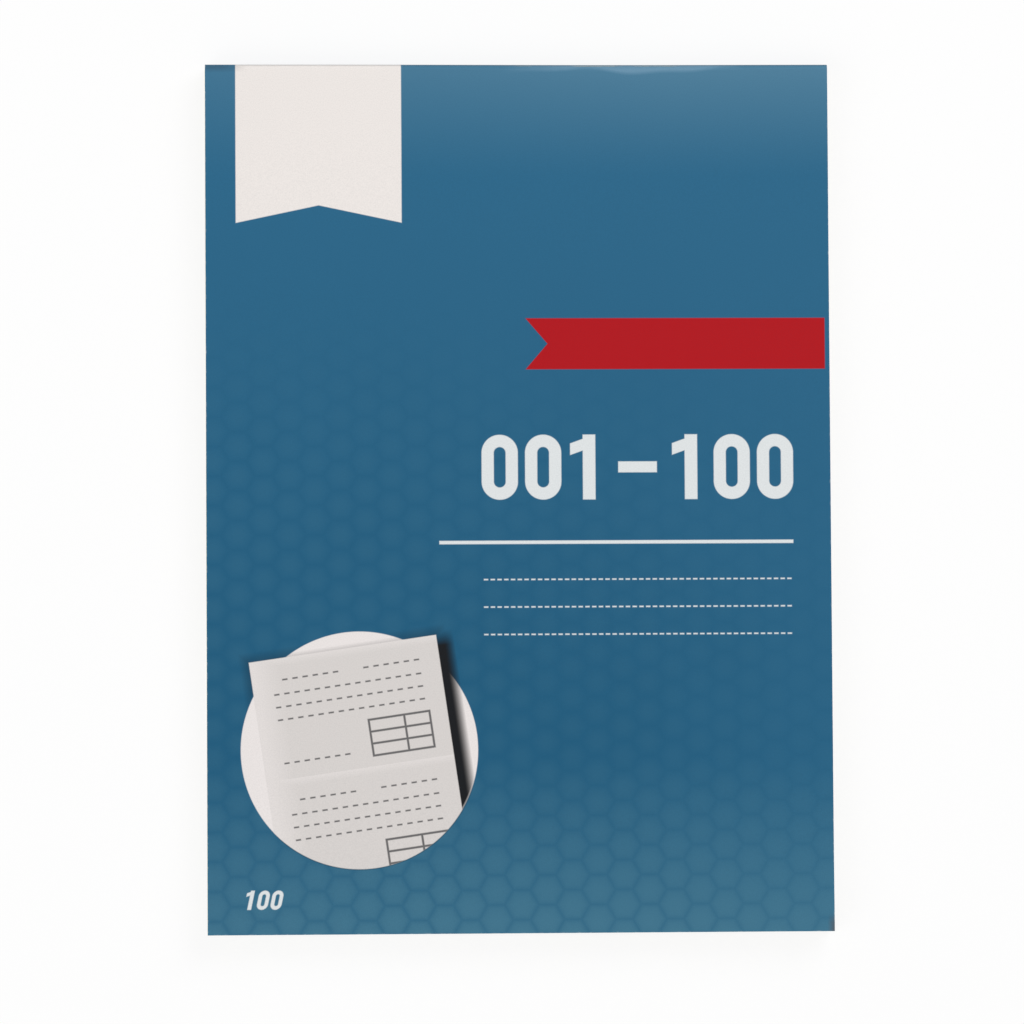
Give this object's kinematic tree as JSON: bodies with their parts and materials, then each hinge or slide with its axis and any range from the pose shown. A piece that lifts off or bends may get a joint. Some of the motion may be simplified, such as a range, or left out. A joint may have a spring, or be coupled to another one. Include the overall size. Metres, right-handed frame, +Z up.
{
  "type": "duplicate receipt book",
  "caption": "Head-bound duplicate receipt book: wrap-round printed card cover, stapled stubs, perforated white top copies over yellow duplicates, and a loose writing shield.",
  "frame": {"origin": "middle of the back cover's underside", "axes": "+X across the page, +Y towards the bound head, +Z up through the front cover"},
  "size_m": [0.148, 0.206, 0.0095],
  "materials": {
    "cover_card": "blue printed card, satin laminate",
    "binding_glue": "hot-melt glue",
    "staple_wire": "bright drawn wire",
    "shield_card": "uncoated grey-brown board",
    "top_paper": "white carbonless paper",
    "duplicate_paper": "yellow carbonless paper"
  },
  "bodies": {
    "book": {"back_cover": "cover_card", "spine_glue": "binding_glue", "staples": "staple_wire", "top_stub_1": "top_paper", "duplicate_stub_1": "duplicate_paper", "top_stub_2": "top_paper", "duplicate_stub_2": "duplicate_paper", "top_stub_3": "top_paper", "duplicate_stub_3": "duplicate_paper", "top_copies_04_to_10": "top_paper", "duplicates_04_to_10": "duplicate_paper", "top_copies_11_to_20": "top_paper", "duplicates_11_to_20": "duplicate_paper", "top_copies_21_to_30": "top_paper", "duplicates_21_to_30": "duplicate_paper", "top_copies_31_to_40": "top_paper", "duplicates_31_to_40": "duplicate_paper", "top_copies_41_to_50": "top_paper", "duplicates_41_to_50": "duplicate_paper"},
    "cover": {"front_cover": "cover_card"},
    "top_copy_1": {"top_flap_1": "top_paper"},
    "duplicate_1": {"duplicate_leaf_1": "duplicate_paper"},
    "top_copy_2": {"top_leaf_2": "top_paper"},
    "duplicate_2": {"duplicate_leaf_2": "duplicate_paper"},
    "top_copy_3": {"top_leaf_3": "top_paper"},
    "duplicate_3": {"duplicate_leaf_3": "duplicate_paper"},
    "upper_receipt": {"upper_receipt_1": "top_paper"},
    "lower_receipt": {"lower_receipt_1": "top_paper"},
    "shield": {"writing_shield": "shield_card"}
  },
  "joints": [
    {"name": "cover_open", "type": "hinge", "parent": "book", "child": "cover", "pos_m": [0, 0.10282, 0.00928], "axis": [-1, 0, 0], "range_deg": [0, 178]},
    {"name": "top_copy_1_turn", "type": "hinge", "parent": "book", "child": "top_copy_1", "pos_m": [0, 0.09, 0.00864], "axis": [-1, 0, 0], "range_deg": [0, 84]},
    {"name": "duplicate_1_turn", "type": "hinge", "parent": "book", "child": "duplicate_1", "pos_m": [0, 0.08992, 0.00856], "axis": [-1, 0, 0], "range_deg": [0, 70]},
    {"name": "top_copy_2_turn", "type": "hinge", "parent": "book", "child": "top_copy_2", "pos_m": [0, 0.08984, 0.00848], "axis": [-1, 0, 0], "range_deg": [0, 56]},
    {"name": "duplicate_2_turn", "type": "hinge", "parent": "book", "child": "duplicate_2", "pos_m": [0, 0.08977, 0.0084], "axis": [-1, 0, 0], "range_deg": [0, 42]},
    {"name": "top_copy_3_turn", "type": "hinge", "parent": "book", "child": "top_copy_3", "pos_m": [0, 0.08969, 0.00833], "axis": [-1, 0, 0], "range_deg": [0, 28]},
    {"name": "duplicate_3_turn", "type": "hinge", "parent": "book", "child": "duplicate_3", "pos_m": [0, 0.08961, 0.00825], "axis": [-1, 0, 0], "range_deg": [0, 14]},
    {"name": "upper_receipt_tear", "type": "slide", "parent": "top_copy_1", "child": "upper_receipt", "axis": [0, -1, 0], "range_m": [0, 0.2]},
    {"name": "lower_receipt_tear", "type": "slide", "parent": "upper_receipt", "child": "lower_receipt", "axis": [0, -1, 0], "range_m": [0, 0.1]},
    {"name": "shield_slide", "type": "slide", "parent": "book", "child": "shield", "axis": [0, -1, 0], "range_m": [0, 0.2]}
  ],
  "couplings": [
    {"joint": "top_copy_1_turn", "follows": "cover_open", "ratio": 0.47191},
    {"joint": "duplicate_1_turn", "follows": "cover_open", "ratio": 0.39326},
    {"joint": "top_copy_2_turn", "follows": "cover_open", "ratio": 0.31461},
    {"joint": "duplicate_2_turn", "follows": "cover_open", "ratio": 0.23595},
    {"joint": "top_copy_3_turn", "follows": "cover_open", "ratio": 0.1573},
    {"joint": "duplicate_3_turn", "follows": "cover_open", "ratio": 0.078651}
  ]
}
